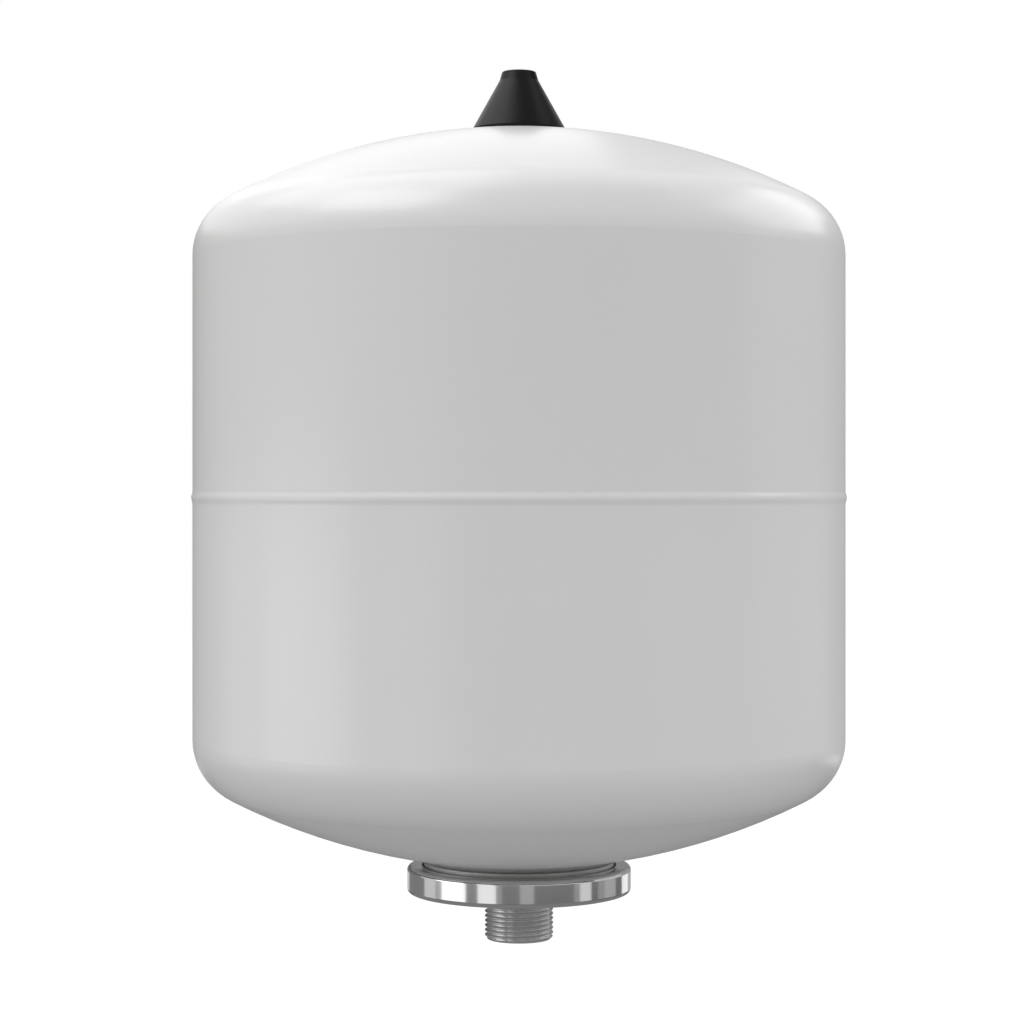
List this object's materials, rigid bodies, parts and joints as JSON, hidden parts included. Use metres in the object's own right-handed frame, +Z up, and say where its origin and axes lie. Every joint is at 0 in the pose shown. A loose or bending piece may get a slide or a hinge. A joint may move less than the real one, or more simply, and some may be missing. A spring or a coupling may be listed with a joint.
{
  "type": "expansion vessel",
  "caption": "Upright domed steel vessel with a seam bead, a clamped water neck with threaded nipple, a rubber bag inside and a covered gas charging valve on top.",
  "frame": {"origin": "centre of the lower end face of the pipe nipple, where the vessel is screwed to its pipe", "axes": "+Z up along the axis of the vessel, from the nipple to the gas valve"},
  "size_m": [0.2509, 0.2508, 0.3342],
  "materials": {
    "shell_coat": "gloss white coating on steel",
    "neck_steel": "dark machined steel",
    "ring_steel": "polished stainless steel",
    "flange_steel": "satin stainless steel",
    "nipple_steel": "turned zinc-plated steel",
    "bag_rubber": "matt moulded rubber",
    "guard_plastic": "natural moulded plastic",
    "valve_brass": "turned brass",
    "seal_rubber": "matt rubber",
    "core_ptfe": "white sealing plastic",
    "pin_steel": "bright drawn wire",
    "cap_plastic": "black moulded plastic",
    "cover_plastic": "fine-textured black moulded plastic"
  },
  "bodies": {
    "vessel": {"upper_shell": "shell_coat", "lower_shell": "shell_coat", "seam_weld": "shell_coat", "neck_collar": "neck_steel", "neck_weld": "neck_steel", "clamp_ring": "ring_steel", "flange_plate": "flange_steel", "connection_nipple": "nipple_steel", "nipple_weld": "nipple_steel", "bladder": "bag_rubber", "bladder_guard": "guard_plastic", "valve_boss": "neck_steel", "boss_weld": "neck_steel", "valve_stem": "valve_brass", "stem_gasket": "seal_rubber", "core_plug": "valve_brass", "core_barrel": "valve_brass", "core_gasket": "core_ptfe", "core_spring": "pin_steel"},
    "cover": {"valve_cover": "cover_plastic"},
    "cap_washer": {"dust_cap_seal": "seal_rubber"},
    "cap": {"dust_cap": "cap_plastic"},
    "pin": {"core_pin": "pin_steel", "core_cup": "valve_brass", "core_seal": "seal_rubber"}
  },
  "joints": [
    {"name": "cover_pull", "type": "slide", "parent": "vessel", "child": "cover", "axis": [0, 0, 1], "range_m": [0, 0.06]},
    {"name": "cap_rise", "type": "slide", "parent": "vessel", "child": "cap_washer", "axis": [0, 0, 1], "range_m": [0, 0.00556]},
    {"name": "cap_turn", "type": "hinge", "parent": "cap_washer", "child": "cap", "pos_m": [0, 0, 0.322], "axis": [0, 0, 1], "range_deg": [0, 2520]},
    {"name": "pin_press", "type": "slide", "parent": "vessel", "child": "pin", "axis": [0, 0, -1], "range_m": [0, 0.0012], "stiffness_N_per_m": 900, "springref_m": -0.003, "deforming": ["core_spring"]}
  ],
  "couplings": [
    {"joint": "cap_turn", "follows": "cap_rise", "rad_per_m": 7913.3}
  ]
}
